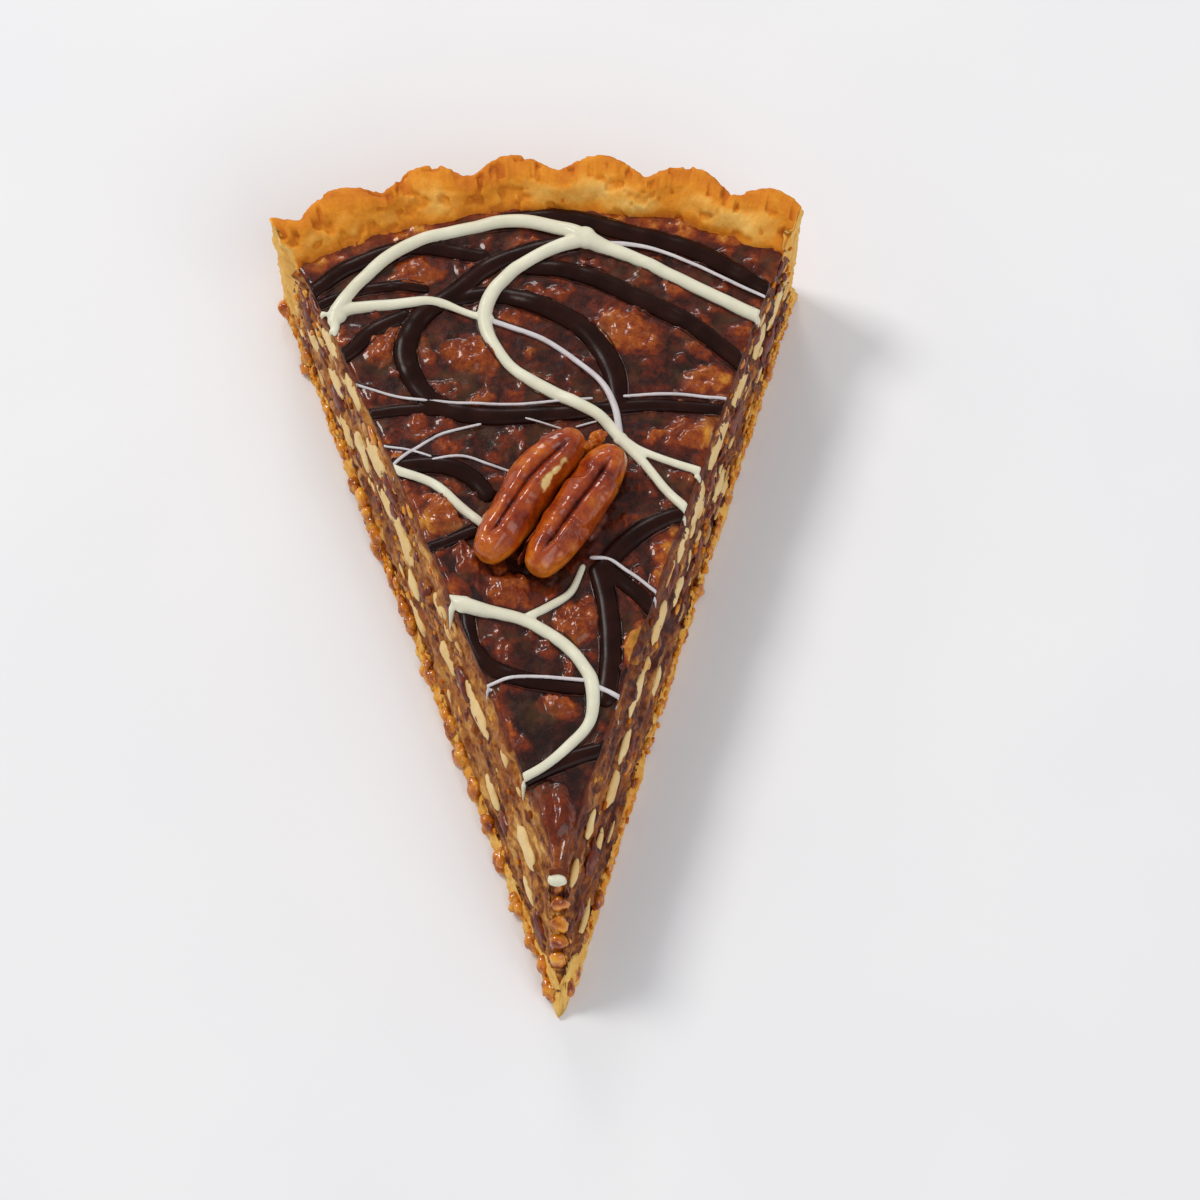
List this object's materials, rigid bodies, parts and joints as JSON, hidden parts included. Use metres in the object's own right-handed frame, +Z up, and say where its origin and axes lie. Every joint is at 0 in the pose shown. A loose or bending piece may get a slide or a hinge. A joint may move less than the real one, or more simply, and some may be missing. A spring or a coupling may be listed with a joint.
{
  "type": "pecan pie slice",
  "caption": "Wedge of fluted pecan pie with a nut and caramel filling, a pecan on top and chocolate drizzle.",
  "frame": {"origin": "on the surface the slice stands on, below the middle of its bounding box", "axes": "+Y from the slice's tip to its fluted rim, +X to the right seen from above with the rim ahead, +Z up"},
  "size_m": [0.0874, 0.1416, 0.0286],
  "materials": {
    "baked_crust": "matte, crumbly, browned at the rim",
    "pecan_filling": "glossy caramel glaze with chopped nuts",
    "toasted_pecan": "glazed, wrinkled skin",
    "dark_chocolate": "satin",
    "white_chocolate": "satin"
  },
  "bodies": {
    "root": {"crust": "baked_crust", "filling": "pecan_filling", "pecan_half_left": "toasted_pecan", "pecan_half_right": "toasted_pecan", "dark_drizzle_1": "dark_chocolate", "dark_drizzle_2": "dark_chocolate", "dark_drizzle_3": "dark_chocolate", "dark_drizzle_4": "dark_chocolate", "dark_drizzle_5": "dark_chocolate", "dark_drizzle_6": "dark_chocolate", "dark_drizzle_7": "dark_chocolate", "dark_drizzle_8": "dark_chocolate", "white_drizzle_1": "white_chocolate", "white_drizzle_2": "white_chocolate", "white_drizzle_3": "white_chocolate"}
  },
  "joints": []
}
